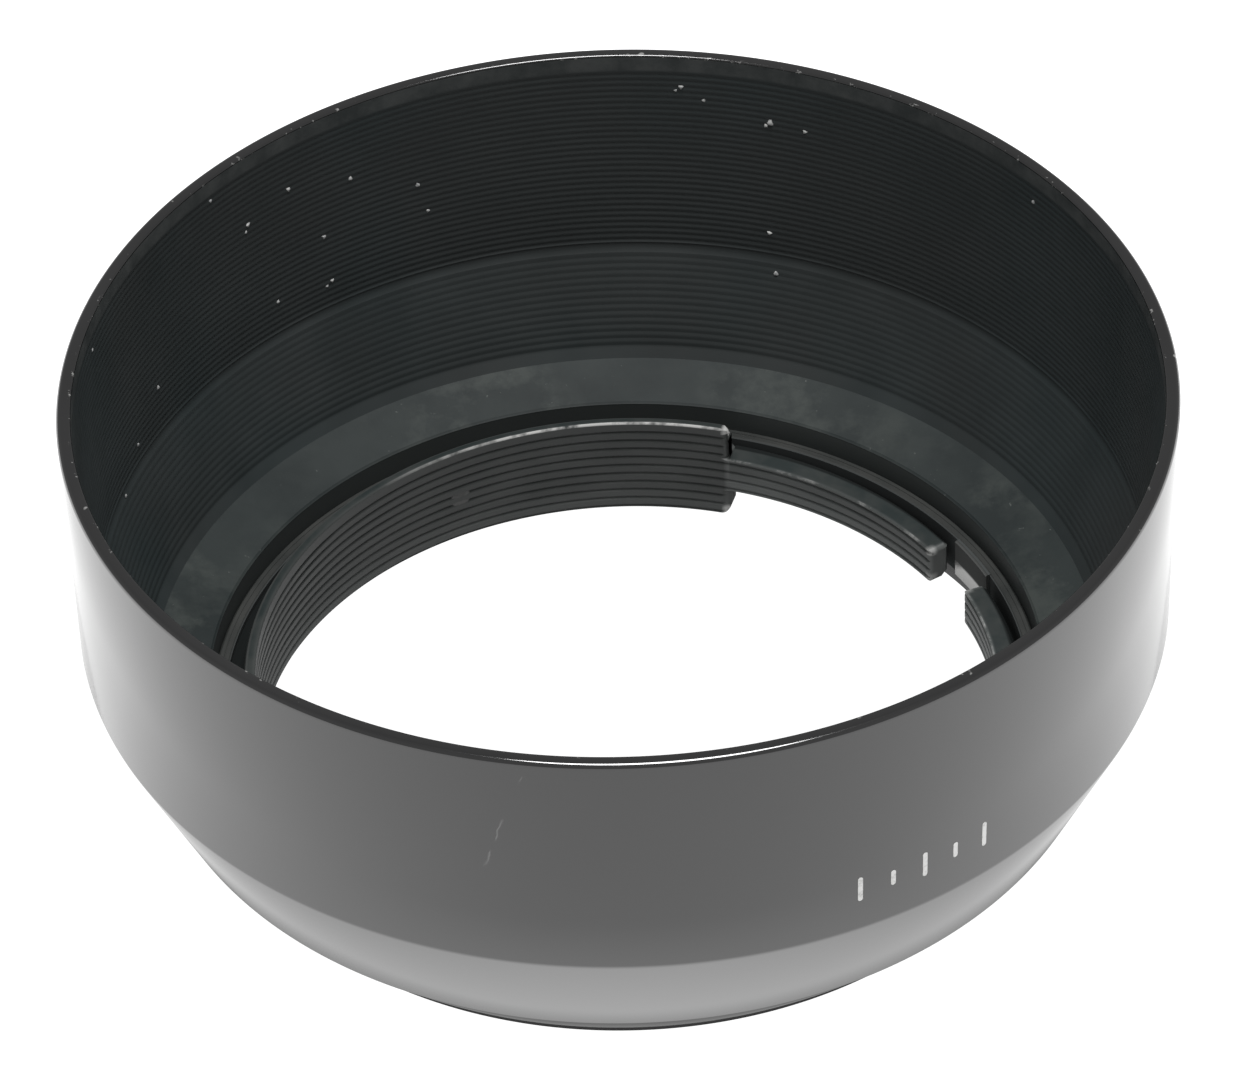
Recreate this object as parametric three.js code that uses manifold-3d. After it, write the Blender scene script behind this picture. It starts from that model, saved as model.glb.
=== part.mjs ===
// Metal lens hood: a turned barrel, a rear mount ring pressed into it, and a split clamp ring whose two
// spring arms grip the front of a lens. Millimetres. +Z points out of the front opening, and the rear face
// of the mount ring lies on Z = 0, centred on the origin.
import * as THREE from 'three';
import { mergeVertices } from 'three/addons/utils/BufferGeometryUtils.js';
import Module from 'manifold-3d';

const wasm = await Module();
wasm.setup();

// Barrel, outside
const HOOD_HEIGHT = 31.9;
const RIM_RADIUS = 37.8;
const STEP_RADIUS = 37.24; // where the cylindrical front ends and the rear cone begins
const STEP_HEIGHT = 13.7;
const TAIL_CORNER = { radius: 32.9, height: 4.57 }; // where the rear cone turns in under the barrel
const TAIL_RADIUS = 29.3;
const RIM_OUTER_ROUNDING = 0.4;
const RIM_INNER_ROUNDING = 0.15;

// Barrel, inside: two bands that carry anti-reflection grooves, then a plain band and a shelf
const RIM_BORE_RADIUS = 36.8;
const BAND_BREAK = { radius: 35.8, height: 16.07 };
const PLAIN_BAND = { radius: 32.96, height: 8.66 };
const SHELF_OUTER = { radius: 32.5, height: 8.03 };
const SHELF_INNER = { radius: 28.7, height: 7.05 };

// Mount ring
const SEAT_CLEARANCE = 0.1; // between the mount ring and the barrel around it
const MOUNT_RADIUS = SHELF_INNER.radius - SEAT_CLEARANCE;
const MOUNT_BORE_RADIUS = 27.7;
const MOUNT_HEIGHT = 5.4;
const MOUNT_BEVEL = { radius: 28.6, height: 2.35 }; // lead-in at the rear of its bore
const LAND_RADIUS = 27.4; // raised land in the bore, between the tips of the spring arms
const LAND_ANGLES = [22.7, 31.7];
const FLANGE_RADIUS = 28.8;
const FLANGE_THICKNESS = 0.55;
const FLANGE_CHAMFER = 0.15;

// Clamp ring: a C with grip grooves of thread pitch around the lens
const GRIP_RADIUS = 25.5;
const GROOVE_DEPTH = 0.42;
const GROOVE_PITCH = 0.75;
const GROOVE_COUNT = 10;
const CLAMP_HEIGHT = 7.8;
const CLAMP_BODY_RADIUS = 27.6; // thick lower part, against the mount ring
const CLAMP_BODY_HEIGHT = 4.9;
const CLAMP_LIP_RADIUS = 26.3; // thin upper part
const CLAMP_LIP_SLOPE = 0.6;
const CLAMP_EDGE = 0.25;

// The window in the clamp ring, its two spring arms and the gap between their tips, in degrees from +X
const WINDOW_CENTRE = 26.3;
const WINDOW_HALF_ANGLE = 46;
const LEFT_TIP_ANGLE = 32.4;
const RIGHT_TIP_ANGLE = 22;
const ROOT_GAP_ANGLE = 0.65;
const ARM_BOTTOM = 2.2;
const ARM_TOP = 5.1;
const ARM_ROOT_RADIUS = 27.5;
const ARM_TIP_RADIUS = 27.1;

// Rivets that hold the clamp ring in the mount ring, a quarter turn apart
const RIVET_RADIUS = 0.85;
const RIVET_HOLE_RADIUS = 0.95;
const RIVET_HEIGHT = 3.56;
const RIVET_INNER_END = GRIP_RADIUS + 0.1;
const RIVET_OUTER_END = MOUNT_RADIUS - 0.1;
const RIVET_ANGLES = [90, 180, 270].map((turn) => WINDOW_CENTRE + turn);

const TURNED_SEGMENTS = 96;
const ROUND_SEGMENTS = 24;

const radians = THREE.MathUtils.degToRad;

function toSolid(geometry) {
  const bare = geometry.clone();
  bare.deleteAttribute('normal');
  bare.deleteAttribute('uv');
  const welded = mergeVertices(bare);
  return new wasm.Manifold(new wasm.Mesh({
    numProp: 3,
    vertProperties: new Float32Array(welded.attributes.position.array),
    triVerts: new Uint32Array(welded.index.array),
  }));
}

function toGeometry(solid) {
  const { vertProperties, triVerts } = solid.getMesh();
  const geometry = new THREE.BufferGeometry();
  geometry.setAttribute('position', new THREE.BufferAttribute(new Float32Array(vertProperties), 3));
  geometry.setIndex(new THREE.BufferAttribute(new Uint32Array(triVerts), 1));
  geometry.computeVertexNormals();
  return geometry;
}

// Points of a profile arc in the radius-height plane; angles in degrees, 0 outwards and 90 upwards
function profileArc(radius, height, rounding, from, to, steps = 3) {
  return Array.from({ length: steps + 1 }, (_, i) => {
    const angle = radians(from + ((to - from) * i) / steps);
    return [radius + rounding * Math.cos(angle), height + rounding * Math.sin(angle)];
  });
}

// A closed radius-height profile, counterclockwise, turned about Z
function turned(profile) {
  const points = [...profile, profile[0]].map(([radius, height]) => new THREE.Vector2(radius, height));
  return new THREE.LatheGeometry(points, TURNED_SEGMENTS).rotateX(Math.PI / 2);
}

// A flat outline of [radius, angle in degrees] points, raised from one height to another
function raisedOutline(outline, bottom, top) {
  const points = outline.map(([radius, angle]) => {
    return new THREE.Vector2(radius * Math.cos(radians(angle)), radius * Math.sin(radians(angle)));
  });
  const options = { depth: top - bottom, bevelEnabled: false };
  return new THREE.ExtrudeGeometry(new THREE.Shape(points), options).translate(0, 0, bottom);
}

// A round bar along a radius of the ring at rivet height
function radialBar(radius, innerEnd, outerEnd, angle) {
  const bar = new THREE.CylinderGeometry(radius, radius, outerEnd - innerEnd, ROUND_SEGMENTS);
  bar.rotateZ(-Math.PI / 2);
  bar.translate((innerEnd + outerEnd) / 2, 0, RIVET_HEIGHT);
  return bar.rotateZ(radians(angle));
}

const rivetHoles = RIVET_ANGLES.map((angle) => {
  return toSolid(radialBar(RIVET_HOLE_RADIUS, GRIP_RADIUS - 1, FLANGE_RADIUS + 1, angle));
});

function withRivetHoles(solid) {
  return rivetHoles.reduce((rest, hole) => rest.subtract(hole), solid);
}

function hoodShell() {
  const tailHeight = FLANGE_THICKNESS + SEAT_CLEARANCE;
  const outerEdge = RIM_OUTER_ROUNDING;
  const innerEdge = RIM_INNER_ROUNDING;
  return turned([
    [TAIL_RADIUS, tailHeight],
    [TAIL_CORNER.radius, TAIL_CORNER.height],
    [STEP_RADIUS, STEP_HEIGHT],
    ...profileArc(RIM_RADIUS - outerEdge, HOOD_HEIGHT - outerEdge, outerEdge, 0, 90),
    ...profileArc(RIM_BORE_RADIUS + innerEdge, HOOD_HEIGHT - innerEdge, innerEdge, 90, 180),
    [BAND_BREAK.radius, BAND_BREAK.height],
    [PLAIN_BAND.radius, PLAIN_BAND.height],
    [SHELF_OUTER.radius, SHELF_OUTER.height],
    [SHELF_INNER.radius, SHELF_INNER.height],
    [SHELF_INNER.radius, tailHeight],
  ]);
}

function mountRing() {
  const ring = turned([
    [MOUNT_BORE_RADIUS, MOUNT_BEVEL.height],
    [MOUNT_BEVEL.radius, 0],
    [FLANGE_RADIUS - FLANGE_CHAMFER, 0],
    [FLANGE_RADIUS, FLANGE_CHAMFER],
    [FLANGE_RADIUS, FLANGE_THICKNESS],
    [MOUNT_RADIUS, FLANGE_THICKNESS],
    [MOUNT_RADIUS, MOUNT_HEIGHT],
    [MOUNT_BORE_RADIUS, MOUNT_HEIGHT],
  ]);
  const [start, end] = LAND_ANGLES;
  const middle = (start + end) / 2;
  const land = raisedOutline([
    [LAND_RADIUS, start],
    [MOUNT_BORE_RADIUS + 0.3, start],
    [MOUNT_BORE_RADIUS + 0.3, middle],
    [MOUNT_BORE_RADIUS + 0.3, end],
    [LAND_RADIUS, end],
    [LAND_RADIUS, middle],
  ], MOUNT_BEVEL.height, MOUNT_HEIGHT);
  return toGeometry(withRivetHoles(toSolid(ring).add(toSolid(land))));
}

// The whole ring that the clamp ring and its arms are cut from, with its grip grooves
function groovedRing() {
  const firstGroove = (CLAMP_HEIGHT - GROOVE_COUNT * GROOVE_PITCH) / 2;
  const grip = [];
  for (let i = GROOVE_COUNT; i > 0; i -= 1) {
    const top = firstGroove + i * GROOVE_PITCH;
    grip.push([GRIP_RADIUS, top]);
    grip.push([GRIP_RADIUS + GROOVE_DEPTH, top - GROOVE_PITCH / 2]);
  }
  return turned([
    [CLAMP_BODY_RADIUS - CLAMP_EDGE, 0],
    [CLAMP_BODY_RADIUS, CLAMP_EDGE],
    [CLAMP_BODY_RADIUS, CLAMP_BODY_HEIGHT],
    [CLAMP_LIP_RADIUS, CLAMP_BODY_HEIGHT + CLAMP_LIP_SLOPE],
    [CLAMP_LIP_RADIUS, CLAMP_HEIGHT - CLAMP_EDGE],
    [CLAMP_LIP_RADIUS - CLAMP_EDGE, CLAMP_HEIGHT],
    [GRIP_RADIUS + CLAMP_EDGE, CLAMP_HEIGHT],
    ...grip,
    [GRIP_RADIUS, firstGroove],
    [GRIP_RADIUS + firstGroove, 0],
  ]);
}

const groovedSolid = toSolid(groovedRing());

function clampRing() {
  const reach = 2 * CLAMP_BODY_RADIUS;
  const window = raisedOutline([
    [0, 0],
    [reach, WINDOW_CENTRE - WINDOW_HALF_ANGLE],
    [reach, WINDOW_CENTRE + WINDOW_HALF_ANGLE],
  ], -1, CLAMP_HEIGHT + 1);
  return toGeometry(withRivetHoles(groovedSolid.subtract(toSolid(window))));
}

// One spring arm. side is 1 for the arm rooted at the window's far end and -1 for the near end.
// Its back is relieved towards the tip, which leaves it room to spring outwards.
function clampArm(side, tip) {
  const root = WINDOW_CENTRE + side * (WINDOW_HALF_ANGLE - ROOT_GAP_ANGLE);
  const steps = 12;
  const back = Array.from({ length: steps + 1 }, (_, i) => {
    const along = i / steps;
    const radius = THREE.MathUtils.lerp(ARM_TIP_RADIUS, ARM_ROOT_RADIUS, along);
    return [radius, THREE.MathUtils.lerp(tip, root, along)];
  });
  const front = [
    [GRIP_RADIUS - 2, root],
    [GRIP_RADIUS - 2, tip],
  ];
  return toGeometry(groovedSolid.intersect(toSolid(raisedOutline([...back, ...front], ARM_BOTTOM, ARM_TOP))));
}

const glossBlack = new THREE.MeshStandardMaterial({ color: 0x1b1c1d, roughness: 0.18, metalness: 0.1 });
const matteBlack = new THREE.MeshStandardMaterial({ color: 0x26292a, roughness: 0.6, metalness: 0.1 });
const satinBlack = new THREE.MeshStandardMaterial({ color: 0x2e3030, roughness: 0.4, metalness: 0.4 });
const darkMetal = new THREE.MeshStandardMaterial({ color: 0x3a3a3a, roughness: 0.45, metalness: 0.6 });

const hood = new THREE.Group();

function addPart(name, geometry, material) {
  const mesh = new THREE.Mesh(geometry, material.clone());
  mesh.name = name;
  hood.add(mesh);
}

addPart('hood_shell', hoodShell(), glossBlack);
addPart('mount_ring', mountRing(), matteBlack);
addPart('clamp_ring', clampRing(), satinBlack);
addPart('clamp_arm_left', clampArm(1, LEFT_TIP_ANGLE), satinBlack);
addPart('clamp_arm_right', clampArm(-1, RIGHT_TIP_ANGLE), satinBlack);
RIVET_ANGLES.forEach((angle, i) => {
  const rivet = radialBar(RIVET_RADIUS, RIVET_INNER_END, RIVET_OUTER_END, angle);
  addPart(`clamp_rivet_${i + 1}`, rivet, darkMetal);
});

export default hood;
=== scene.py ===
import math

import bpy
import numpy as np
from mathutils import Matrix, Vector


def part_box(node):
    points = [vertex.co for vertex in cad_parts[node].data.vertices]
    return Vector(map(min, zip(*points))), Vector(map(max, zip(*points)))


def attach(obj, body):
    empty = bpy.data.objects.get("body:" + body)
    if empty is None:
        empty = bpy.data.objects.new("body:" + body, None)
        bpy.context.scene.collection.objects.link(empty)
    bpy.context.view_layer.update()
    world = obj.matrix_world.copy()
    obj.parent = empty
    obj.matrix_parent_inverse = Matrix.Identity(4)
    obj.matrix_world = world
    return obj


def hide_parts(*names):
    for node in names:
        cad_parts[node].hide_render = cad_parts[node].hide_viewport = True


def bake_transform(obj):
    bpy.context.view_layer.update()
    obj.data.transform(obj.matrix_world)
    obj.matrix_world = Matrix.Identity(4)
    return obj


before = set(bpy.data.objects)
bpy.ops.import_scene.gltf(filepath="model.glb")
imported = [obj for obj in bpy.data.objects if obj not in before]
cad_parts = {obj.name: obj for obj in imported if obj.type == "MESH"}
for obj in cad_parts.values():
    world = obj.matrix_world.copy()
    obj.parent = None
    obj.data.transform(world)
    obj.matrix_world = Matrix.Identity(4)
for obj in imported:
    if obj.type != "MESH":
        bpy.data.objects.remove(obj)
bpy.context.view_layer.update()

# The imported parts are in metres. The sizes below are in millimetres, and the angles in degrees from +X
# towards +Y. Meshes are turned into metres when they are made.
MM = 0.001


def high(node):
    """Highest point of a CAD node, in millimetres."""
    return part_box(node)[1].z / MM


def low(node):
    """Lowest point of a CAD node, in millimetres."""
    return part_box(node)[0].z / MM


def wide(node):
    """Largest radius of a CAD node that goes all the way round, in millimetres."""
    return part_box(node)[1].y / MM


# Barrel
RIM_TOP = high("hood_shell")
RIM_RADIUS = wide("hood_shell")
TAIL_BOTTOM = low("hood_shell")
TAIL_RADIUS = 29.3
TAIL_CORNER = (32.9, 4.57)
STEP_RADIUS = 37.24
STEP_HEIGHT = 13.7
STEP_EDGE = 0.12
TAIL_EDGE = 0.1
TAIL_CORNER_EDGES = (0.06, 0.04)  # how far the corner's bevel reaches below and above it
RIM_OUTER_ROUNDING = 0.4
RIM_INNER_ROUNDING = 0.15
RIM_BORE_RADIUS = 36.8
PLAIN_BAND_BOTTOM = 30.6  # the first anti-reflection groove starts below the plain band under the rim
BAND_BREAK = (35.8, 16.07)
BREAK_GROOVE = 0.07  # depth of the groove between the two grooved bands
SLOPE_START = (35.56, 15.26)
SLOPE_END = (32.96, 8.66)
SHELF_OUTER = (32.5, 8.03)
SHELF_INNER = (28.7, 7.05)
UPPER_GROOVES = 30
UPPER_CUT = 0.05
LOWER_GROOVES = 14
LOWER_CUT = 0.035
GROOVE_SHAPE = ((0.0, 0.0), (0.35, 0.0), (0.6, 1.0), (0.75, 1.0))  # shares of a groove's pitch and depth

# Mount ring
MOUNT_TOP = high("mount_ring")
FLANGE_RADIUS = wide("mount_ring")
FLANGE_TOP = TAIL_BOTTOM - 0.02
FLANGE_EDGE = 0.06
MOUNT_RADIUS = SHELF_INNER[0] - 0.1
MOUNT_BORE = 27.7
MOUNT_TOP_EDGES = (0.12, 0.15)  # bevels of the top face, inner and outer
MOUNT_BEVEL = (28.6, 2.35)  # lead-in at the rear of the bore: radius at the foot, height of its top
LAND_RADIUS = 27.4  # raised land in the bore, between the tips of the spring arms
LAND_ANGLES = (22.7, 31.7)
LAND_EDGE = 0.1
LAND_SINK = 0.3  # how far the land reaches into the ring
BARE_TOP = 3.6  # top of the bright band on the land
JOINT_GROOVE = (28.15, 0.05, 0.05)  # radius, half width and depth of the fine groove in the top face

# Clamp ring and arms
GRIP_RADIUS = 25.5
GRIP_PITCH = 0.75
GRIP_DEPTH = 0.12
GRIP_STEEPNESS = 2.4
GRIP_CREST = 1.3  # sets how wide the crests are
GRIP_STEP = 0.9  # degrees from one section to the next
GRIP_ROWS = 16  # rows of points to a groove
GRIP_FADE = 0.08  # height over which the topmost groove runs out
GRIP_LAND = 0.4  # plain strip above the grooves of the full-height ring
CLAMP_TOP = high("clamp_ring")
CLAMP_BODY_RADIUS = 27.69
CLAMP_BODY_TOP = 4.9
CLAMP_LIP_RADIUS = 26.3
ARM_BOTTOM = low("clamp_arm_left")
ARM_TOP = high("clamp_arm_left")
ARM_ROOT_RADIUS = 27.5
ARM_TIP_RADIUS = 27.1
RING_END_ROUNDING = 0.75
RING_BEVELS = (0.12, 0.07)  # inner edge at the bottom and at the top
TIP_ROUNDING = 0.35
ARM_BEVELS = (0.1, 0.08)
WINDOW_CENTRE = 26.3
WINDOW_HALF_ANGLE = 46.0
LEFT_ROOT = WINDOW_CENTRE + WINDOW_HALF_ANGLE
RIGHT_ROOT = WINDOW_CENTRE - WINDOW_HALF_ANGLE
LEFT_TIP = 32.4
RIGHT_TIP = 22.0
RIVET_HEIGHT = 3.56
RIVET_RADIUS = 0.85
RIVET_EDGE = 0.12
RIVET_SEGMENTS = 40

# Index mark: five upright ticks on the barrel
MARK_CENTRE = (301.0, 17.28)  # degrees, millimetres
MARK_PITCH = 3.75  # degrees
TICK_WIDTH = 0.36
TICK_LENGTHS = (2.1, 1.3, 2.1, 1.3, 2.1)
TICK_SINK = 0.05
TICK_RISE = 0.012
TICK_POINTS = 24

# Pale specks on the grooved wall: angle, height and radius
SPECK_SIDES = 10
SPECK_RINGS = ((1.0, 0.0), (0.75, 0.45), (0.4, 0.7))  # spread and rise of each ring of points, in radii
SPECKS = (
    (82, 29.3, 0.19), (82.6, 29.0, 0.13), (79.5, 28.3, 0.14), (72, 27.1, 0.25), (72.5, 26.8, 0.16),
    (68, 26.9, 0.16), (128, 27.2, 0.17), (134, 26.2, 0.17), (134.4, 25.7, 0.13), (120, 25.8, 0.17),
    (112, 23.4, 0.17), (111, 21.0, 0.13), (124, 21.9, 0.16), (123.5, 18.0, 0.14), (124.2, 17.7, 0.12),
    (131, 18.5, 0.14), (152, 19.5, 0.16), (158, 17.3, 0.14), (72, 17.7, 0.17), (139, 30.1, 0.14),
    (166, 29.6, 0.13), (37.5, 29.2, 0.16), (71, 14.6, 0.19), (163.5, 15.5, 0.14),
)

TURNED_SEGMENTS = 360
BUMP_DEPTH = 0.02  # of the paint's and the enamel's fine unevenness

# Where the rubbed edge of the clamp ring, which also serves as painted highlight, begins and is full,
# across X
WEAR_AND_HIGHLIGHT_FROM_TO = (-17.0, -7.0)

# Colours, darker or cleaner first
ENAMEL = ((0.004, 0.004, 0.0042), (0.007, 0.007, 0.0073))
ENAMEL_CHIP = (0.20, 0.20, 0.195)
SCRATCH = (0.20, 0.20, 0.20)
WALL_PAINT = ((0.0170, 0.0228, 0.0235), (0.0255, 0.0318, 0.0325))
WALL_TINT = (0.026, 0.0245, 0.0235)
PLAIN_BAND_PAINT = ((0.027, 0.031, 0.031), (0.060, 0.064, 0.063))
SHELF_PAINT = ((0.0085, 0.0126, 0.0128), (0.0155, 0.0205, 0.0202))
SHELF_SMEAR = (0.036, 0.042, 0.039)
SHELF_DUST = (0.18, 0.19, 0.18)
SHELF_WALL = (0.040, 0.045, 0.044)
GRIP_METAL = ((0.030, 0.033, 0.032), (0.044, 0.047, 0.046))
CLAMP_TOP_METAL = ((0.015, 0.0205, 0.0205), (0.028, 0.032, 0.031))
# painted shade: the clamp's back, in the channel behind its grip
CLAMP_BACK_PAINTED_SHADE = (0.009, 0.0105, 0.0105)
CLAMP_END_METAL = (0.095, 0.10, 0.098)
# rubbed metal, also standing in as painted highlight on the clamp's edges and corners
RUBBED_METAL_AND_HIGHLIGHT = (0.42, 0.42, 0.41)
MOUNT_METAL = ((0.025, 0.0270, 0.0262), (0.040, 0.041, 0.039))
# painted light: the mount ring's bore and its land are lightened for the light that reaches them through
# the gaps
MOUNT_BORE_PAINTED_LIGHT = (0.052, 0.056, 0.056)
LAND_PAINTED_LIGHT = (0.075, 0.077, 0.076)
BARE_METAL = (0.60, 0.60, 0.59)
RIVET_METAL = ((0.03, 0.031, 0.03), (0.06, 0.06, 0.059))
MARK_PAINT = ((0.80, 0.80, 0.79), (0.45, 0.45, 0.44))
SPECK_PAINT = ((0.24, 0.245, 0.245), (0.42, 0.42, 0.41))

# Enamel: refractive index on the wall and on the rim's top, and the scratch
ENAMEL_INDEX = 1.95
RIM_INDEX = 1.75
SCRATCH_ANGLE = 259.0
SCRATCH_TOP = 30.0
SCRATCH_HEIGHTS = (22.5, 30.6)
SCRATCH_LEAN = 0.33
SCRATCH_WAVER = 0.8
SCRATCH_STRENGTH = 0.6

# Brightness that the table lends to reflections, and how bright the camera sees it
GLOW_CONTACT = 0.32  # close to the foot
GLOW_UNDER = 0.95  # under the barrel
GLOW_UNDER_FRONT = 0.7  # added to that straight in front
GLOW_AROUND = 1.66
GLOW_AROUND_FRONT = 0.7  # taken from that straight in front
GLOW_THROAT = 0.8  # inside the clamp ring
GLOW_FAR = 50.0  # radius from which the table is fully bright
TABLE_SEEN = 1.1
TABLE_SIZE = 6.0  # metres
TABLE_DROP = 0.0002  # metres between the table and the foot
SURROUND_STRENGTH = 0.36
SOFTBOX_SIZE = 0.46  # metres
SOFTBOX_POWER = 12.0  # watts
SOFTBOX_PLACE = (0.05, -0.1, 1.0)  # metres

# Camera, in metres and degrees
CAMERA_PITCH = 40.5
CAMERA_ROLL = -1.77
CAMERA_DISTANCE = 0.6664
CAMERA_AIM = (-0.00025, -0.0062, 0.0240)
CAMERA_LENS = 288.4  # millimetres
CAMERA_SENSOR = 36


# ---------------------------------------------------------------- meshes

def make_mesh(name, points, faces, materials, face_slots=None, sharp_angle=28):
    """A smooth-shaded mesh object from points in millimetres."""
    mesh = bpy.data.meshes.new(name)
    mesh.from_pydata((np.asarray(points) * MM).tolist(), [], faces)
    for material in materials:
        mesh.materials.append(material)
    if face_slots is not None:
        mesh.polygons.foreach_set("material_index", face_slots)
    mesh.shade_smooth()
    mesh.set_sharp_from_angle(angle=math.radians(sharp_angle))
    mesh.validate()
    piece = bpy.data.objects.new(name, mesh)
    bpy.context.scene.collection.objects.link(piece)
    return piece


def lathe(name, profile, materials):
    """Turns a closed counterclockwise profile of (radius, height, material number) about Z."""
    count = len(profile)
    radius = np.array([p[0] for p in profile])
    height = np.array([p[1] for p in profile])
    angle = np.linspace(0, 2 * np.pi, TURNED_SEGMENTS, endpoint=False)[:, None]
    points = np.stack([radius * np.cos(angle), radius * np.sin(angle), height + 0 * angle], axis=-1)
    faces = []
    slots = []
    for i in range(TURNED_SEGMENTS):
        here = i * count
        there = (i + 1) % TURNED_SEGMENTS * count
        for j in range(count):
            k = (j + 1) % count
            faces.append((here + j, there + j, there + k, here + k))
            slots.append(profile[j][2])
    return make_mesh(name, points.reshape(-1, 3), faces, materials, slots)


def arc(radius, height, rounding, start, end, material, steps):
    """Profile points round an edge; 0 degrees points outwards and 90 up."""
    turn = np.radians(np.linspace(start, end, steps + 1))
    return [(radius + rounding * math.cos(t), height + rounding * math.sin(t), material) for t in turn]


def grooves(start, end, count, depth, material):
    """Anti-reflection grooves cut square to the wall between two profile points, top to bottom."""
    start = Vector(start)
    end = Vector(end)
    pitch = (end - start) / count
    outward = Vector((-pitch.y, pitch.x)).normalized()
    points = []
    for i in range(count):
        top = start + pitch * i
        for along, cut in GROOVE_SHAPE:
            point = top + pitch * along + outward * depth * cut
            points.append((point.x, point.y, material))
    return points


def inner_wall(height):
    """Radius of the grooved wall at a height."""
    heights = (SLOPE_END[1], SLOPE_START[1], BAND_BREAK[1], PLAIN_BAND_BOTTOM)
    return float(np.interp(height, heights, (SLOPE_END[0], SLOPE_START[0], BAND_BREAK[0], RIM_BORE_RADIUS)))


def outer_wall(height):
    """Radius of the barrel's front part at a height."""
    return float(np.interp(height, (STEP_HEIGHT, RIM_TOP), (STEP_RADIUS, RIM_RADIUS)))


def hood_shell_piece(gloss, matte, shelf):
    """The turned barrel with its grooved inside. The third number of a profile point is its material."""
    outer, inner = RIM_OUTER_ROUNDING, RIM_INNER_ROUNDING
    corner_radius, corner_height = TAIL_CORNER
    below, above = TAIL_CORNER_EDGES
    break_radius, break_height = BAND_BREAK
    shelf_radius, shelf_height = SHELF_INNER
    slope = (STEP_HEIGHT - corner_height) / (STEP_RADIUS - corner_radius)
    profile = [
        (TAIL_RADIUS - TAIL_EDGE, TAIL_BOTTOM, 0),
        (TAIL_RADIUS, TAIL_BOTTOM + TAIL_EDGE, 0),
        (corner_radius - below, corner_height - below, 0),
        (corner_radius, corner_height + above, 0),
        (STEP_RADIUS - STEP_EDGE, STEP_HEIGHT - STEP_EDGE * slope, 0),
        (STEP_RADIUS - 0.3 * STEP_EDGE, STEP_HEIGHT - 0.2 * STEP_EDGE, 0),
        (STEP_RADIUS, STEP_HEIGHT + STEP_EDGE, 0),
    ]
    profile += arc(RIM_RADIUS - outer, RIM_TOP - outer, outer, 0, 90, 0, 10)
    profile += arc(RIM_BORE_RADIUS + inner, RIM_TOP - inner, inner, 90, 180, 0, 5)
    profile[-1] = (*profile[-1][:2], 1)
    profile += [(RIM_BORE_RADIUS - 0.02, PLAIN_BAND_BOTTOM + 0.1, 1)]
    band_top = (RIM_BORE_RADIUS - 0.03, PLAIN_BAND_BOTTOM)
    profile += grooves(band_top, BAND_BREAK, UPPER_GROOVES, UPPER_CUT, 1)
    profile += [
        (*BAND_BREAK, 1),
        (break_radius - 0.03, break_height - 0.05, 1),
        (break_radius + BREAK_GROOVE - 0.03, break_height - 0.1, 1),
        (break_radius + BREAK_GROOVE - 0.09, SLOPE_START[1] + 0.3, 1),
        (*SLOPE_START, 1),
    ]
    profile += grooves(SLOPE_START, SLOPE_END, LOWER_GROOVES, LOWER_CUT, 1)
    profile += [
        (*SLOPE_END, 1),
        (*SHELF_OUTER, 2),
        (shelf_radius + 0.15, shelf_height + 0.02, 2),
        (shelf_radius, shelf_height - 0.12, 2),
        (shelf_radius, TAIL_BOTTOM, 1),
    ]
    return lathe("barrel", profile, [gloss, matte, shelf])


def mount_ring_piece(satin, gloss):
    """The ring in the tail, with its foot flange."""
    joint, width, depth = JOINT_GROOVE
    inner, outer = MOUNT_TOP_EDGES
    profile = [
        (MOUNT_BORE, MOUNT_BEVEL[1], 0),
        (MOUNT_BEVEL[0], 0, 0),
        (FLANGE_RADIUS - FLANGE_EDGE, 0, 1),
        (FLANGE_RADIUS, FLANGE_EDGE, 1),
        (FLANGE_RADIUS, FLANGE_TOP, 0),
        (MOUNT_RADIUS, FLANGE_TOP, 0),
        (MOUNT_RADIUS, MOUNT_TOP - outer, 0),
        (MOUNT_RADIUS - outer, MOUNT_TOP, 0),
        (joint + width, MOUNT_TOP, 0),
        (joint + width * 0.5, MOUNT_TOP - depth, 0),
        (joint - width * 0.5, MOUNT_TOP - depth, 0),
        (joint - width, MOUNT_TOP, 0),
        (MOUNT_BORE + inner, MOUNT_TOP, 0),
        (MOUNT_BORE, MOUNT_TOP - inner, 0),
    ]
    return lathe("mount_ring_turned", profile, [satin, gloss])


def mount_land_piece(material):
    """The raised land in the mount ring's bore."""
    bottom, top = MOUNT_BEVEL[1], MOUNT_TOP
    section = [
        (MOUNT_BORE + LAND_SINK, bottom),
        (MOUNT_BORE + LAND_SINK, top - 0.05),
        (MOUNT_BORE + 0.13, top),
        (LAND_RADIUS + LAND_EDGE, top),
        (LAND_RADIUS, top - LAND_EDGE),
        (LAND_RADIUS, bottom),
    ]
    points = []
    for angle in np.radians(np.linspace(*LAND_ANGLES, 12)):
        points += [(r * math.cos(angle), r * math.sin(angle), z) for r, z in section]
    count = len(section)
    faces = [tuple(range(count)), tuple(reversed(range(len(points) - count, len(points))))]
    for i in range(len(points) // count - 1):
        for j in range(count):
            k = (j + 1) % count
            faces.append((i * count + j, (i + 1) * count + j, (i + 1) * count + k, i * count + k))
    return make_mesh("mount_land", points, faces, [material])


def grip_wall(height, angle, groove_top):
    """Radius of the threaded grip at a height and an angle: one helical groove below groove_top."""
    phase = (height / GRIP_PITCH + angle / 360) % 1.0
    wave = 1 - np.abs(2 * phase - 1)
    cut = np.clip(GRIP_STEEPNESS * wave - GRIP_CREST, 0, 1)
    fade = np.clip((groove_top - height) / GRIP_FADE, 0, 1)
    return GRIP_RADIUS + GRIP_DEPTH * cut * fade


def end_steps(rounding):
    """Steps in degrees, from an end face inwards, that follow the rounding of its edge."""
    if rounding == 0:
        return np.zeros(1)
    reach = rounding * (1 - np.cos(np.radians(np.linspace(0, 90, 8))))
    return np.degrees(reach / GRIP_RADIUS)


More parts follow.
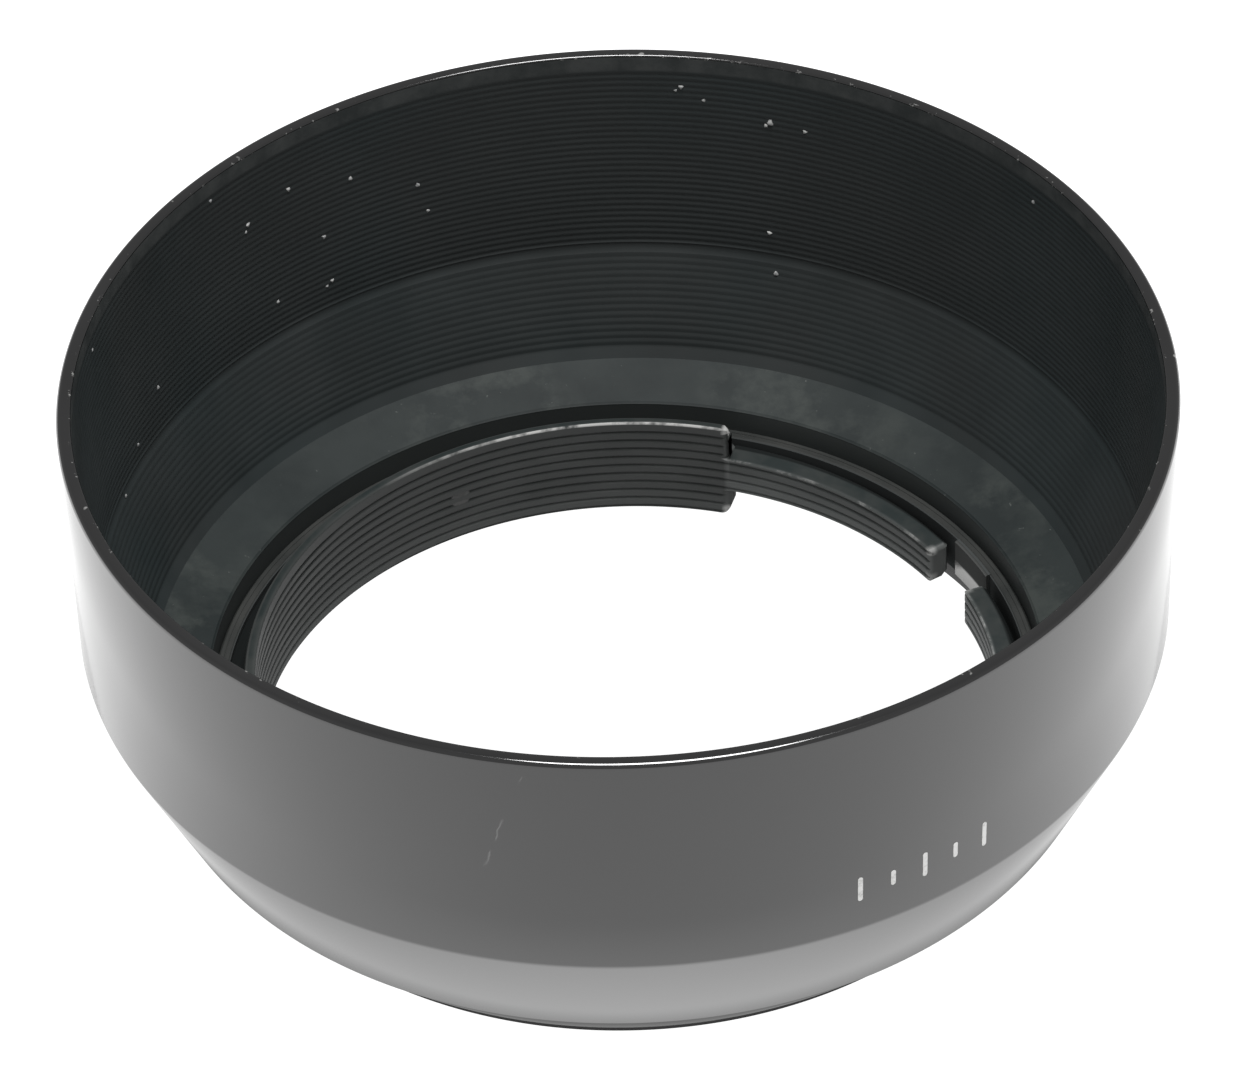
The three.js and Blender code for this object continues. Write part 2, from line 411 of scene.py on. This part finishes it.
def grip_sector(name, ends, heights, back, roundings, bevels, groove_top, flush, material):
    """A threaded ring sector between two angles and two heights.

    back(angle) lists the (radius, height) points of the outer side, from bottom to top. roundings are
    those of the edges of the two end faces, bevels those of the inner edge at the bottom and the top.
    Between the two flush heights the grip runs on to the end faces without rounding.
    """
    start, end = ends
    bottom, top = heights
    rows = int(round((top - bottom) / GRIP_PITCH * GRIP_ROWS))
    first, last = end_steps(roundings[0]), end_steps(roundings[1])
    middle = np.arange(start + first[-1] + GRIP_STEP, end - last[-1] - 0.4, GRIP_STEP)
    angles = np.concatenate([start + first, middle, end - last[::-1]])
    points = []
    for angle in angles:
        inset = 0.0
        for gap, rounding in ((angle - start, roundings[0]), (end - angle, roundings[1])):
            depth = rounding - math.radians(gap) * GRIP_RADIUS
            if depth > 0:
                inset = rounding - math.sqrt(max(0.0, rounding**2 - depth**2))
        lowest, highest = bottom + inset, top - inset
        height = np.linspace(highest, lowest, rows)
        bevel = np.maximum(bevels[1] - (highest - height), bevels[0] - (height - lowest))
        rounded = np.where((height > flush[0]) & (height < flush[1]), 0.0, inset)
        wall = grip_wall(height, angle, groove_top)
        radius = np.maximum(wall, GRIP_RADIUS + np.maximum(rounded, bevel))
        section = [(r - inset, min(max(z, lowest), highest)) for r, z in back(angle)]
        section += list(zip(radius, height))
        turn = math.radians(angle)
        points += [(r * math.cos(turn), r * math.sin(turn), z) for r, z in section]
    count = len(section)
    faces = []
    for i in range(len(angles) - 1):
        for j in range(count):
            k = (j + 1) % count
            faces.append((i * count + j, (i + 1) * count + j, (i + 1) * count + k, i * count + k))
    faces.append(tuple(range(count)))
    final = (len(angles) - 1) * count
    faces.append(tuple(range(final + count - 1, final - 1, -1)))
    return make_mesh(name, points, faces, [material])


def clamp_ring_piece(material):
    """The full-height C of the clamp ring."""
    def back(_angle):
        return [
            (GRIP_RADIUS + 0.9, 0),
            (CLAMP_BODY_RADIUS - 0.45, 0),
            (CLAMP_BODY_RADIUS, 0.5),
            (CLAMP_BODY_RADIUS, CLAMP_BODY_TOP),
            (CLAMP_LIP_RADIUS, CLAMP_BODY_TOP + 0.6),
            (CLAMP_LIP_RADIUS, CLAMP_TOP - 0.3),
            (CLAMP_LIP_RADIUS - 0.1, CLAMP_TOP - 0.1),
            (CLAMP_LIP_RADIUS - 0.3, CLAMP_TOP),
        ]
    ends = (LEFT_ROOT, RIGHT_ROOT + 360)
    heights = (0, CLAMP_TOP)
    roundings = (RING_END_ROUNDING, RING_END_ROUNDING)
    arm_range = (ARM_BOTTOM, ARM_TOP)
    groove_top = CLAMP_TOP - GRIP_LAND
    return grip_sector("clamp_ring_threaded", ends, heights, back, roundings, RING_BEVELS,
                       groove_top, arm_range, material)


def clamp_arm_piece(name, root, tip, material):
    """A spring arm, relieved at its back towards the tip."""
    def back(angle):
        share = (angle - tip) / (root - tip)
        radius = ARM_TIP_RADIUS + (ARM_ROOT_RADIUS - ARM_TIP_RADIUS) * share
        return [
            (GRIP_RADIUS + 0.6, ARM_BOTTOM),
            (radius - 0.45, ARM_BOTTOM),
            (radius, ARM_BOTTOM + 0.55),
            (radius, ARM_TOP - 0.25),
            (radius - 0.25, ARM_TOP),
            (GRIP_RADIUS + 0.5, ARM_TOP),
        ]
    ends = (min(root, tip), max(root, tip))
    roundings = (0.0, TIP_ROUNDING) if root < tip else (TIP_ROUNDING, 0.0)
    heights = (ARM_BOTTOM, ARM_TOP)
    return grip_sector(name, ends, heights, back, roundings, ARM_BEVELS, CLAMP_TOP, (0, 0), material)


def rivet_piece(name, angle, material):
    """A radial pin whose domed end lies flush with the grip."""
    root = MOUNT_RADIUS - 0.15
    depth = root - GRIP_RADIUS
    profile = [
        (RIVET_RADIUS, 0.0),
        (RIVET_RADIUS, depth - RIVET_EDGE),
        (RIVET_RADIUS - RIVET_EDGE, depth - 0.03),
        (RIVET_RADIUS * 0.5, depth),
    ]
    points = []
    for i in range(RIVET_SEGMENTS):
        turn = 2 * math.pi * i / RIVET_SEGMENTS
        points += [(r * math.cos(turn), r * math.sin(turn), z) for r, z in profile]
    ring = len(profile)
    faces = []
    for i in range(RIVET_SEGMENTS):
        here, there = i * ring, (i + 1) % RIVET_SEGMENTS * ring
        for j in range(ring - 1):
            faces.append((here + j, there + j, there + j + 1, here + j + 1))
    faces.append(tuple(i * ring for i in reversed(range(RIVET_SEGMENTS))))
    faces.append(tuple(i * ring + ring - 1 for i in range(RIVET_SEGMENTS)))
    piece = make_mesh(name, points, faces, [material])
    outward = Vector((math.cos(math.radians(angle)), math.sin(math.radians(angle)), 0))
    turned = (-outward).to_track_quat("Z", "Y").to_matrix().to_4x4()
    place = Matrix.Translation((outward * root + Vector((0, 0, RIVET_HEIGHT))) * MM)
    piece.data.transform(place @ turned)
    return piece


def index_mark_piece(material):
    """Five upright ticks, filled with paint, set into the barrel wall."""
    radius = TICK_WIDTH / 2
    points, faces = [], []
    for i, length in enumerate(TICK_LENGTHS):
        centre = MARK_CENTRE[0] + MARK_PITCH * (i - len(TICK_LENGTHS) // 2)
        reach = length / 2 - radius
        outline = []
        for j in range(TICK_POINTS):
            turn = 2 * math.pi * (j + 0.5) / TICK_POINTS
            lift = reach if turn < math.pi else -reach
            outline.append((radius * math.cos(turn), MARK_CENTRE[1] + lift + radius * math.sin(turn)))
        first = len(points)
        for proud in (-TICK_SINK, TICK_RISE):
            for across, height in outline:
                wall = outer_wall(height) + proud
                turn = math.radians(centre) + across / wall
                points.append((wall * math.cos(turn), wall * math.sin(turn), height))
        count = len(outline)
        for j in range(count):
            k = (j + 1) % count
            faces.append((first + j, first + k, first + count + k, first + count + j))
        faces.append(tuple(first + j for j in reversed(range(count))))
        faces.append(tuple(first + count + j for j in range(count)))
    return make_mesh("index_mark", points, faces, [material])


def specks_piece(material):
    """Low pale specks of dust and chipped paint on the grooved wall."""
    sides = SPECK_SIDES
    points, faces = [], []
    for number, (angle, height, size) in enumerate(SPECKS):
        turn = math.radians(angle)
        wall = inner_wall(height) + 0.02
        outward = Vector((math.cos(turn), math.sin(turn), 0))
        along = Vector((-outward.y, outward.x, 0))
        centre = outward * wall + Vector((0, 0, height))
        first = len(points)
        for share, rise in SPECK_RINGS:
            for j in range(sides):
                spin = 2 * math.pi * j / sides
                uneven = 1 + 0.22 * math.sin(3 * spin + number) + 0.12 * math.sin(5 * spin + 2 * number)
                spread = size * share * uneven
                offset = along * math.cos(spin) * spread + Vector((0, 0, math.sin(spin) * spread))
                points.append(tuple(centre + offset - outward * rise * size))
        for ring in range(2):
            for j in range(sides):
                here, there = first + ring * sides, first + (ring + 1) * sides
                k = (j + 1) % sides
                faces.append((here + k, here + j, there + j, there + k))
        faces.append(tuple(first + j for j in range(sides)))
        faces.append(tuple(first + 2 * sides + j for j in reversed(range(sides))))
    return make_mesh("wall_specks", points, faces, [material], sharp_angle=60)


# ---------------------------------------------------------------- materials

class Nodes:
    """Short names for building a material's nodes."""

    def __init__(self, name):
        self.material = bpy.data.materials.new(name)
        self.material.use_nodes = True
        self.tree = self.material.node_tree
        self.shader = self.tree.nodes["Principled BSDF"]
        self.place = self.add("ShaderNodeTexCoord").outputs["Object"]
        scaled = self.add("ShaderNodeVectorMath", operation="SCALE")
        scaled.inputs["Scale"].default_value = 1 / MM
        self.feed(scaled.inputs[0], self.place)
        split = self.add("ShaderNodeSeparateXYZ")
        self.feed(split.inputs[0], scaled.outputs[0])
        self.x, self.y, self.height = split.outputs
        across = self.math("MULTIPLY", self.x, self.x)
        along = self.math("MULTIPLY", self.y, self.y)
        self.radius = self.math("SQRT", self.math("ADD", across, along))

    def add(self, kind, **settings):
        node = self.tree.nodes.new(kind)
        for key, value in settings.items():
            setattr(node, key, value)
        return node

    def feed(self, socket, value):
        if isinstance(value, bpy.types.NodeSocket):
            self.tree.links.new(value, socket)
        else:
            socket.default_value = value

    def math(self, operation, a, b=0.0, clamp=False):
        node = self.add("ShaderNodeMath", operation=operation, use_clamp=clamp)
        self.feed(node.inputs[0], a)
        self.feed(node.inputs[1], b)
        return node.outputs[0]

    def noise(self, scale, detail, roughness=0.55):
        node = self.add("ShaderNodeTexNoise")
        node.inputs["Scale"].default_value = scale
        node.inputs["Detail"].default_value = detail
        node.inputs["Roughness"].default_value = roughness
        self.feed(node.inputs["Vector"], self.place)
        return node.outputs["Fac"]

    def spread(self, value, low, high, to_low=0.0, to_high=1.0):
        """Runs from to_low at low to to_high at high, and stays level outside them."""
        node = self.add("ShaderNodeMapRange")
        self.feed(node.inputs["Value"], value)
        node.inputs["From Min"].default_value = low
        node.inputs["From Max"].default_value = high
        node.inputs["To Min"].default_value = to_low
        node.inputs["To Max"].default_value = to_high
        return node.outputs[0]

    def band(self, value, low, high, soft=0.04):
        """1 between two bounds and 0 outside them, with soft edges."""
        rise = self.spread(value, low - soft, low + soft)
        return self.math("MULTIPLY", rise, self.spread(value, high + soft, high - soft))

    def all(self, first, *others):
        """The product of several masks."""
        for other in others:
            first = self.math("MULTIPLY", first, other)
        return first

    def toward(self, angle):
        """Distance in millimetres from the axis, measured in the direction of an angle."""
        turn = math.radians(angle)
        return self.math("ADD", self.math("MULTIPLY", self.x, math.cos(turn)),
                         self.math("MULTIPLY", self.y, math.sin(turn)))

    def past(self, angle):
        """Distance in millimetres beyond the plane through the axis at an angle."""
        return self.toward(angle + 90)

    def facing(self, angle):
        """1 on the half of the object that an angle points to."""
        return self.spread(self.toward(angle), 5.0, 10.0)

    def mix(self, share, a, b):
        node = self.add("ShaderNodeMix", data_type="RGBA")
        self.feed(node.inputs[0], share)
        self.feed(node.inputs[6], a if isinstance(a, bpy.types.NodeSocket) else (*a, 1))
        self.feed(node.inputs[7], b if isinstance(b, bpy.types.NodeSocket) else (*b, 1))
        return node.outputs[2]

    def bump(self, height, strength):
        node = self.add("ShaderNodeBump")
        node.inputs["Strength"].default_value = strength
        node.inputs["Distance"].default_value = BUMP_DEPTH * MM
        self.feed(node.inputs["Height"], height)
        self.feed(self.shader.inputs["Normal"], node.outputs[0])

    def set(self, **values):
        for name, value in values.items():
            socket = self.shader.inputs[name.replace("_", " ")]
            self.feed(socket, (*value, 1) if isinstance(value, tuple) else value)


def gloss_enamel():
    """Baked black enamel outside, chipped at the rim, with one faint long scratch at the front."""
    n = Nodes("gloss_enamel")
    smudge = n.noise(60, 4)
    base = n.mix(n.spread(smudge, 0.35, 0.7), *ENAMEL)
    inner_edge = n.band(n.radius, RIM_BORE_RADIUS - 0.1, RIM_BORE_RADIUS + 0.22)
    bore_edge = n.all(inner_edge, n.band(n.height, RIM_TOP - 0.3, RIM_TOP + 0.1))
    chips = n.all(bore_edge, n.spread(n.noise(1500, 3, 0.7), 0.63, 0.7))
    nicked = n.band(n.height, RIM_TOP - 0.5, RIM_TOP + 0.1)
    nicks = n.all(nicked, n.spread(n.noise(700, 2, 0.6), 0.71, 0.74))
    base = n.mix(n.math("MAXIMUM", chips, nicks), base, ENAMEL_CHIP)
    lean = n.math("MULTIPLY", n.math("SUBTRACT", SCRATCH_TOP, n.height), SCRATCH_LEAN)
    waver = n.math("MULTIPLY", n.math("SUBTRACT", n.noise(600, 2), 0.5), SCRATCH_WAVER)
    line = n.math("ADD", n.math("ADD", n.past(SCRATCH_ANGLE), lean), waver)
    broken = n.spread(n.noise(420, 2, 0.6), 0.5, 0.58)
    front = n.band(n.y, -40.0, -30.0)
    length = n.band(n.height, *SCRATCH_HEIGHTS, 0.5)
    scratch = n.all(n.band(line, -0.05, 0.05, 0.05), length, front, broken)
    base = n.mix(n.math("MULTIPLY", scratch, SCRATCH_STRENGTH), base, SCRATCH)
    index = n.spread(n.height, RIM_TOP - 0.12, RIM_TOP - 0.01, ENAMEL_INDEX, RIM_INDEX)
    n.set(Base_Color=base, Roughness=n.spread(smudge, 0.3, 0.75, 0.08, 0.13), IOR=index)
    n.bump(n.noise(900, 2), 0.03)
    return n.material


def matte_paint():
    """Flat black paint inside the barrel."""
    n = Nodes("matte_paint")
    cloud = n.noise(120, 4)
    base = n.mix(n.spread(cloud, 0.3, 0.7), *WALL_PAINT)
    tint = n.spread(n.noise(45, 2), 0.42, 0.62)
    base = n.mix(n.math("MULTIPLY", tint, 0.35), base, WALL_TINT)
    above = n.spread(n.height, PLAIN_BAND_BOTTOM - 0.1, PLAIN_BAND_BOTTOM + 0.1)
    plain = n.math("MULTIPLY", above, 0.75)
    mottle = n.mix(n.spread(n.noise(420, 4, 0.65), 0.36, 0.64), *PLAIN_BAND_PAINT)
    base = n.mix(plain, base, mottle)
    roughness = n.spread(cloud, 0.3, 0.7, 0.5, 0.62)
    n.set(Base_Color=base, Roughness=roughness, IOR=1.5, Specular_IOR_Level=0.25)
    n.bump(n.noise(6000, 2), 0.15)
    return n.material


def shelf_paint():
    """The shelf's flat paint, dustier than the wall."""
    n = Nodes("shelf_paint")
    cloud = n.noise(110, 5, 0.62)
    dust = n.spread(n.noise(1900, 3, 0.7), 0.69, 0.78)
    base = n.mix(n.spread(cloud, 0.4, 0.62), *SHELF_PAINT)
    fine = n.spread(n.noise(240, 5, 0.65), 0.47, 0.62)
    smears = n.all(fine, n.spread(n.noise(75, 2), 0.42, 0.55))
    base = n.mix(n.math("MULTIPLY", smears, 0.7), base, SHELF_SMEAR)
    base = n.mix(n.math("MULTIPLY", dust, 0.4), base, SHELF_DUST)
    wall = n.spread(n.height, SHELF_INNER[1] - 0.05, SHELF_INNER[1] - 0.25)
    base = n.mix(wall, base, SHELF_WALL)
    n.set(Base_Color=base, Roughness=0.6, IOR=1.5, Specular_IOR_Level=0.3)
    n.bump(n.noise(5000, 2), 0.2)
    return n.material


def satin_clamp(name, heights, ends, wear_and_highlight, painted_light_gain, painted_shade_from):
    """Black anodised metal of the clamp, rubbed along its top inner edge and at the corners of its ends,
    where the rubbed metal also serves as painted highlight; painted shade darkens its back and painted
    light lightens its grip wall.

    ends lists the angle of each free end and 1 or -1 for the side of it that the metal lies on. The wear
    and highlight strength is
    0 to 1, the gain makes the grip wall lighter as painted light, and beyond a given radius the metal is
    darker, as painted shade, and flat.
    """
    bottom, top = heights
    n = Nodes(name)
    cloud = n.noise(200, 4)
    # painted light: the grip wall is lightened by the given gain, for the light that falls on it
    dark, light = (tuple(painted_light_gain * part for part in metal) for metal in GRIP_METAL)
    base = n.mix(n.spread(cloud, 0.3, 0.7), dark, light)
    up = n.spread(n.height, top - 0.05, top - 0.01)
    flat_top = n.all(up, n.spread(n.radius, GRIP_RADIUS, GRIP_RADIUS + 0.3))
    patches = n.spread(n.noise(330, 3, 0.6), 0.4, 0.62)
    base = n.mix(flat_top, base, n.mix(patches, *CLAMP_TOP_METAL))
    # painted shade: beyond the given radius the metal is darkened for the shade in the channel behind the
    # grip; its specular level is lowered there too
    dull_painted_shade = n.spread(n.radius, painted_shade_from, painted_shade_from + 0.15)
    base = n.mix(dull_painted_shade, base, CLAMP_BACK_PAINTED_SHADE)
    # painted light: the grip wall is lightened towards its bottom for the light from the table below
    foot = n.spread(n.height, bottom + 2.0, bottom + 0.5)
    base = n.mix(n.math("MULTIPLY", foot, 0.3), base, tuple(2.5 * part for part in light))
    # rubbed top inner edge and end corners: partly real wear, partly painted highlight; the bottom corners
    # stand in for the white table's reflection
    lip = n.spread(n.radius, GRIP_RADIUS + 0.2, GRIP_RADIUS + 0.12)
    edge = n.all(lip, n.band(n.height, top - 0.12, top + 0.1, 0.03))
    patchy = n.spread(n.noise(420, 4, 0.7), 0.66 - 0.3 * wear_and_highlight, 0.84 - 0.3 * wear_and_highlight)
    worn_and_highlit = n.all(edge, patchy, n.math("MULTIPLY", n.spread(n.x, *WEAR_AND_HIGHLIGHT_FROM_TO), wear_and_highlight))
    for angle, side in ends:
        inward = n.math("MULTIPLY", n.past(angle), side)
        face = n.all(n.band(inward, -0.4, 0.3, 0.15), n.facing(angle))
        base = n.mix(n.math("MULTIPLY", face, 0.8), base, CLAMP_END_METAL)
        near = n.all(n.band(inward, -0.3, 0.5, 0.15), n.facing(angle))
        top_corner = n.band(n.height, top - 0.5, top)
        bottom_corner = n.band(n.height, bottom - 0.1, bottom + 0.7, 0.15)
        corner = n.math("ADD", top_corner, bottom_corner)
        inner = n.spread(n.radius, GRIP_RADIUS + 0.2 + wear_and_highlight, GRIP_RADIUS - 0.1 + wear_and_highlight)
        worn_and_highlit = n.math("MAXIMUM", worn_and_highlit, n.all(near, inner, n.math("MULTIPLY", corner, wear_and_highlight, True)))
    base = n.mix(worn_and_highlit, base, RUBBED_METAL_AND_HIGHLIGHT)
    roughness = n.spread(cloud, 0.3, 0.7, 0.42, 0.55)
    specular = n.spread(dull_painted_shade, 0.0, 1.0, 0.4, 0.15)
    n.set(Base_Color=base, Roughness=roughness, IOR=1.45, Specular_IOR_Level=specular)
    return n.material


def satin_mount():
    """Black mount ring, painted lighter in its bore and on the land there as painted light. The lower part
    of the land in its bore is bare metal.
    """
    n = Nodes("satin_mount")
    cloud = n.noise(180, 4)
    base = n.mix(n.spread(cloud, 0.3, 0.7), *MOUNT_METAL)
    land = n.spread(n.radius, LAND_RADIUS + 0.15, LAND_RADIUS + 0.05)
    bare = n.all(land, n.spread(n.height, BARE_TOP + 0.1, BARE_TOP - 0.1))
    # painted light: the bore and the land are painted lighter for the light that reaches them through the
    # gaps
    bore = n.band(n.radius, MOUNT_BORE - 0.12, MOUNT_BORE + 0.06, 0.02)
    base = n.mix(bore, base, MOUNT_BORE_PAINTED_LIGHT)
    base = n.mix(land, base, LAND_PAINTED_LIGHT)
    base = n.mix(bare, base, BARE_METAL)
    roughness = n.spread(cloud, 0.3, 0.7, 0.25, 0.35)
    flat = n.math("MULTIPLY", n.math("MAXIMUM", bore, land), 0.5)
    specular = n.math("SUBTRACT", 0.5, flat)
    n.set(Base_Color=base, Metallic=bare, Roughness=roughness, IOR=1.6, Specular_IOR_Level=specular)
    return n.material


def rivet_metal():
    """Blackened rivet ends, a little rubbed."""
    n = Nodes("rivet_metal")
    cloud = n.noise(1500, 3)
    base = n.mix(n.spread(cloud, 0.35, 0.65), *RIVET_METAL)
    n.set(Base_Color=base, Roughness=0.4, Metallic=0.3)
    return n.material


def mark_paint():
    """White paint in the index mark, slightly worn."""
    n = Nodes("mark_paint")
    base = n.mix(n.spread(n.noise(2500, 3), 0.5, 0.75), *MARK_PAINT)
    n.set(Base_Color=base, Roughness=0.55)
    return n.material


def speck_paint():
    """Pale grey of dust and of bare primer."""
    n = Nodes("speck_paint")
    base = n.mix(n.spread(n.noise(3000, 2), 0.4, 0.6), *SPECK_PAINT)
    n.set(Base_Color=base, Roughness=0.7)
    return n.material


# ---------------------------------------------------------------- the object

def finish_piece(piece, body, slot, *replaced):
    """Hands a piece over to its body and hides the CAD nodes that it stands for. The slot argument is not
    used.
    """
    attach(piece, body)
    if replaced:
        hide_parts(*replaced)


gloss = gloss_enamel()
barrel = hood_shell_piece(gloss, matte_paint(), shelf_paint())
finish_piece(barrel, "hood", "gloss_black_enamel", "hood_shell")
mount_paint = satin_mount()
finish_piece(mount_ring_piece(mount_paint, gloss), "hood", "matte_black", "mount_ring")
finish_piece(mount_land_piece(mount_paint), "hood", "matte_black")
ring_ends = ((LEFT_ROOT, 1), (RIGHT_ROOT, -1))
ring_metal = satin_clamp("satin_clamp_ring", (0, CLAMP_TOP), ring_ends, wear_and_highlight=1.0, painted_light_gain=1.0,
                         painted_shade_from=CLAMP_LIP_RADIUS + 0.05)
finish_piece(clamp_ring_piece(ring_metal), "hood", "worn_satin_black", "clamp_ring")
arm_heights = (ARM_BOTTOM, ARM_TOP)
# painted light: the arms' grip walls are lightened, the right one most, for the light that falls on them
for side, root, tip, way, painted_light_gain in (
    ("left", LEFT_ROOT, LEFT_TIP, 1, 1.5),
    ("right", RIGHT_ROOT, RIGHT_TIP, -1, 2.4),
):
    arm_metal = satin_clamp(f"satin_clamp_arm_{side}", arm_heights, ((tip, way),), wear_and_highlight=0.5, painted_light_gain=painted_light_gain,
                            painted_shade_from=ARM_TIP_RADIUS - 0.35)
    arm = clamp_arm_piece(f"spring_arm_{side}", root, tip, arm_metal)
    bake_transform(arm)
    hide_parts(f"clamp_arm_{side}")
pin_metal = rivet_metal()
for i in range(3):
    pin = rivet_piece(f"rivet_{i + 1}", WINDOW_CENTRE + 90 * (i + 1), pin_metal)
    finish_piece(pin, "hood", "rivet_metal", f"clamp_rivet_{i + 1}")
finish_piece(index_mark_piece(mark_paint()), "hood", "white_index_paint")
finish_piece(specks_piece(speck_paint()), "hood", "matte_black")


# ---------------------------------------------------------------- floor, light and camera

def table_glow(n):
    """Brightness that the table lends to reflections: shaded under the barrel, dimmer in front of it."""
    forward = n.math("MULTIPLY", n.y, -1.0)
    ahead = n.math("MAXIMUM", n.math("DIVIDE", forward, n.math("MAXIMUM", n.radius, 0.001)), 0.0)
    front = n.math("MULTIPLY", n.math("POWER", ahead, 4.0), GLOW_UNDER_FRONT)
    under = n.math("ADD", front, GLOW_UNDER)
    around = n.math("SUBTRACT", GLOW_AROUND, n.math("MULTIPLY", ahead, GLOW_AROUND_FRONT))
    contact = n.spread(n.radius, TAIL_RADIUS + 1.5, TAIL_CORNER[0])
    rise = n.math("MULTIPLY", contact, n.math("SUBTRACT", under, GLOW_CONTACT))
    glow = n.math("ADD", rise, GLOW_CONTACT)
    outside = n.spread(n.radius, STEP_RADIUS, GLOW_FAR)
    glow = n.math("ADD", glow, n.math("MULTIPLY", outside, n.math("SUBTRACT", around, glow)))
    throat = n.spread(n.radius, GRIP_RADIUS + 1.0, GRIP_RADIUS - 1.5)
    return n.math("ADD", glow, n.math("MULTIPLY", throat, n.math("SUBTRACT", GLOW_THROAT, glow)))


def floor_and_light():
    """A white table, an even surround and one large soft light overhead."""
    bpy.ops.mesh.primitive_plane_add(size=TABLE_SIZE, location=(0, 0, -TABLE_DROP))
    floor = bpy.context.object
    floor.name = "table"
    n = Nodes("white_table")
    seen = n.add("ShaderNodeLightPath").outputs["Is Camera Ray"]
    glow = n.math("MAXIMUM", table_glow(n), n.math("MULTIPLY", seen, TABLE_SEEN))
    shine = n.add("ShaderNodeEmission")
    n.feed(shine.inputs["Strength"], glow)
    n.feed(n.tree.nodes["Material Output"].inputs["Surface"], shine.outputs[0])
    floor.data.materials.append(n.material)
    world = bpy.data.worlds.new("grey_surround")
    world.use_nodes = True
    background = world.node_tree.nodes["Background"]
    background.inputs["Color"].default_value = (1, 1, 1, 1)
    background.inputs["Strength"].default_value = SURROUND_STRENGTH
    bpy.context.scene.world = world
    data = bpy.data.lights.new("overhead_softbox", "AREA")
    data.shape = "DISK"
    data.size = SOFTBOX_SIZE
    data.energy = SOFTBOX_POWER
    light = bpy.data.objects.new("overhead_softbox", data)
    light.location = SOFTBOX_PLACE
    light.rotation_euler = (-light.location).to_track_quat("-Z", "Y").to_euler()
    bpy.context.scene.collection.objects.link(light)


def camera():
    """Looks down at the front of the hood from the photograph's side."""
    pitch = math.radians(CAMERA_PITCH)
    roll = math.radians(CAMERA_ROLL)
    aim = Vector(CAMERA_AIM)
    forward = Vector((0, math.cos(pitch), -math.sin(pitch)))
    right = Vector((1, 0, 0))
    up = right.cross(forward)
    turned = Matrix((right, up, -forward)).transposed() @ Matrix.Rotation(roll, 3, "Z")
    data = bpy.data.cameras.new("camera")
    data.sensor_width = CAMERA_SENSOR
    data.lens = CAMERA_LENS
    data.clip_start = 0.01
    viewer = bpy.data.objects.new("camera", data)
    viewer.matrix_world = Matrix.Translation(aim - forward * CAMERA_DISTANCE) @ turned.to_4x4()
    bpy.context.scene.collection.objects.link(viewer)
    bpy.context.scene.camera = viewer


floor_and_light()
camera()
bpy.context.scene.view_settings.view_transform = "Standard"
